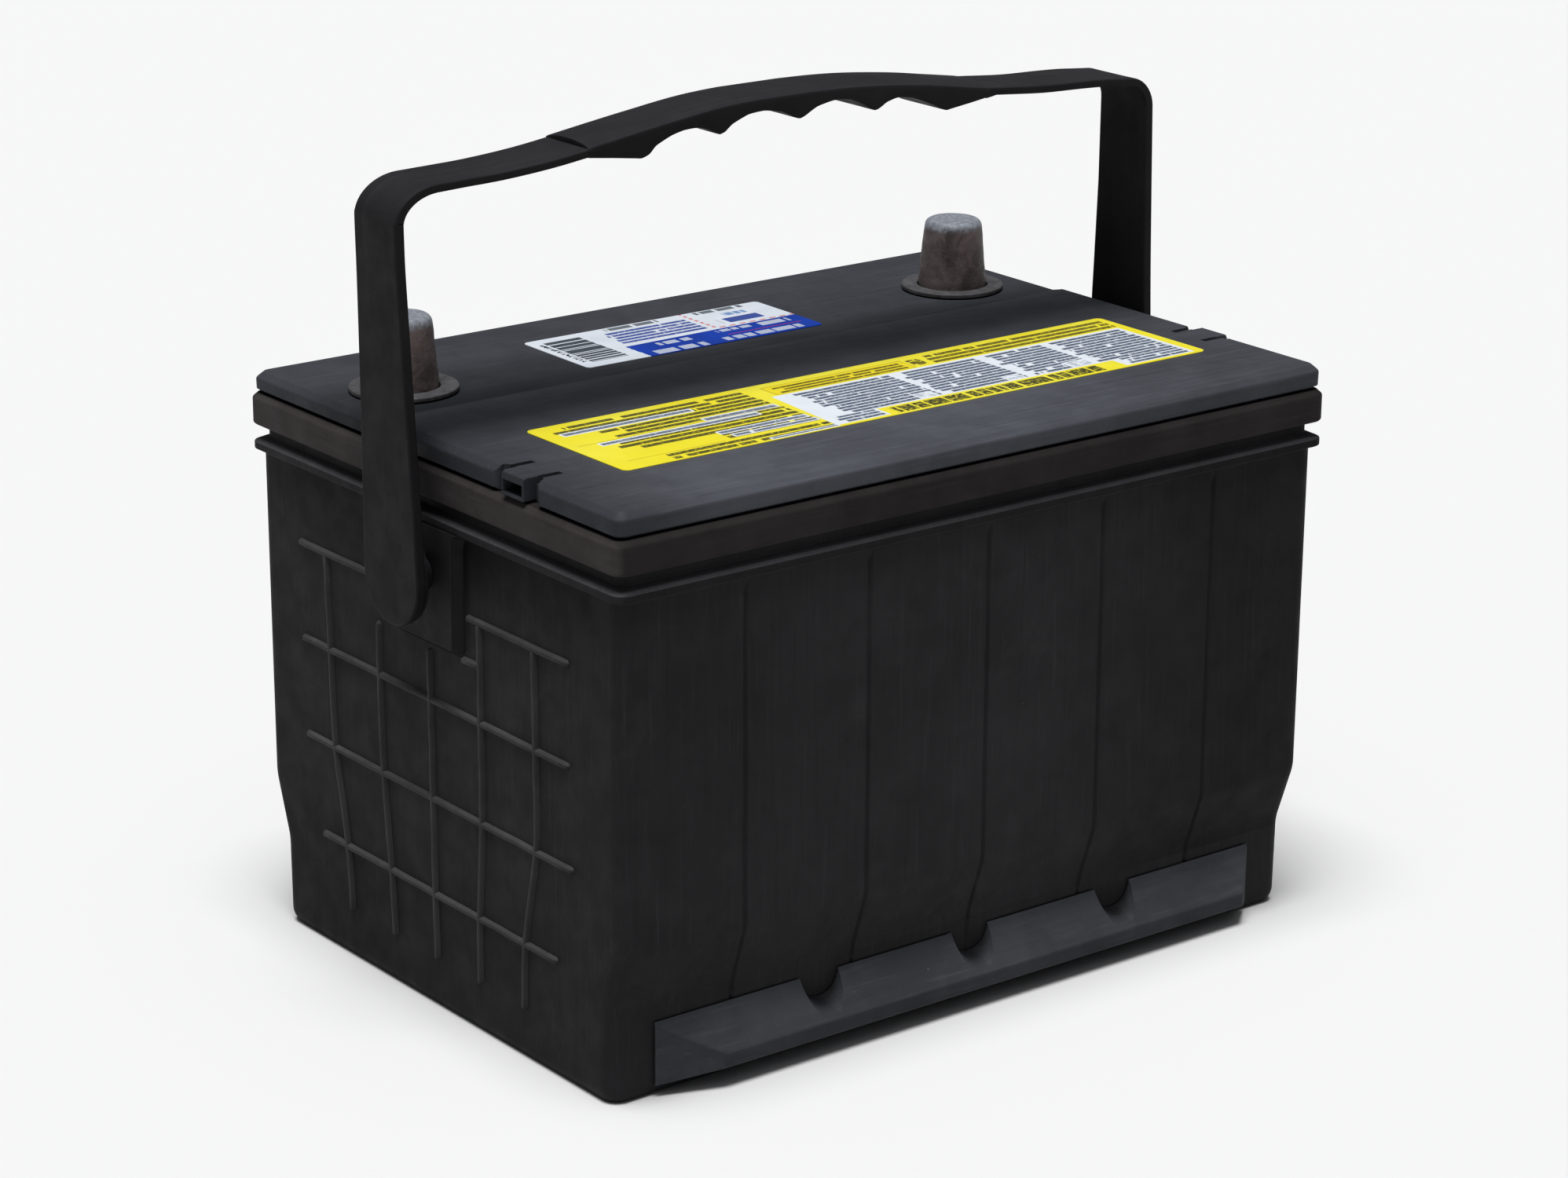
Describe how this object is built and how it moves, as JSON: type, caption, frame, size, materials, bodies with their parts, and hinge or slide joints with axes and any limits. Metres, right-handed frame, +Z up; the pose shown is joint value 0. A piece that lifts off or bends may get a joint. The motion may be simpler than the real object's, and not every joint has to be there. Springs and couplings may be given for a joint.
{
  "type": "deep cycle battery",
  "caption": "Flooded lead-acid battery in a black ribbed case with welded lid, flat vent cover, tapered posts, base hold-down rails and a folding carry handle.",
  "frame": {"origin": "centre of the flat underside of the case", "axes": "+Z up, +X along the long side towards the positive post, the posts stand nearer the +Y side"},
  "size_m": [0.2586, 0.1762, 0.2408],
  "materials": {
    "case_plastic": "moulded black polypropylene, scuffed satin",
    "lid_plastic": "moulded brown-black polypropylene",
    "cover_plastic": "moulded blue-black polypropylene, dusty satin",
    "rail_plastic": "moulded blue-black polypropylene",
    "handle_plastic": "moulded black plastic, fine grain",
    "post_lead": "oxidised lead alloy, brown-grey flanks and a paler worn top",
    "collar_lead": "oxidised lead alloy",
    "frit": "sintered porous plastic",
    "label_yellow": "printed vinyl sticker in yellow and white",
    "label_blue": "printed vinyl sticker in blue and white",
    "plate_positive": "lead dioxide paste in a lead grid",
    "plate_negative": "sponge lead paste in a lead grid",
    "separator_sheet": "microporous polyethylene sheet",
    "strap_lead": "cast lead"
  },
  "bodies": {
    "battery": {"case": "case_plastic", "lid": "lid_plastic", "vent_cover": "cover_plastic", "rail_front": "rail_plastic", "rail_rear": "rail_plastic", "post_pos": "post_lead", "post_neg": "post_lead", "collar_pos": "collar_lead", "collar_neg": "collar_lead", "frit_left": "frit", "frit_right": "frit", "label_main": "label_yellow", "label_small": "label_blue", "plates_pos_1": "plate_positive", "plates_pos_2": "plate_positive", "plates_pos_3": "plate_positive", "plates_pos_4": "plate_positive", "plates_pos_5": "plate_positive", "plates_pos_6": "plate_positive", "plates_neg_1": "plate_negative", "plates_neg_2": "plate_negative", "plates_neg_3": "plate_negative", "plates_neg_4": "plate_negative", "plates_neg_5": "plate_negative", "plates_neg_6": "plate_negative", "separator_1": "separator_sheet", "separator_2": "separator_sheet", "separator_3": "separator_sheet", "separator_4": "separator_sheet", "separator_5": "separator_sheet", "separator_6": "separator_sheet", "link_1": "strap_lead", "link_2": "strap_lead", "link_3": "strap_lead", "link_4": "strap_lead", "link_5": "strap_lead", "riser_pos": "strap_lead", "riser_neg": "strap_lead"},
    "handle": {"handle": "handle_plastic"}
  },
  "joints": [
    {"name": "handle_pivot", "type": "hinge", "parent": "battery", "child": "handle", "pos_m": [0, 0, 0.125], "axis": [1, 0, 0], "range_deg": [-116, 116]}
  ]
}
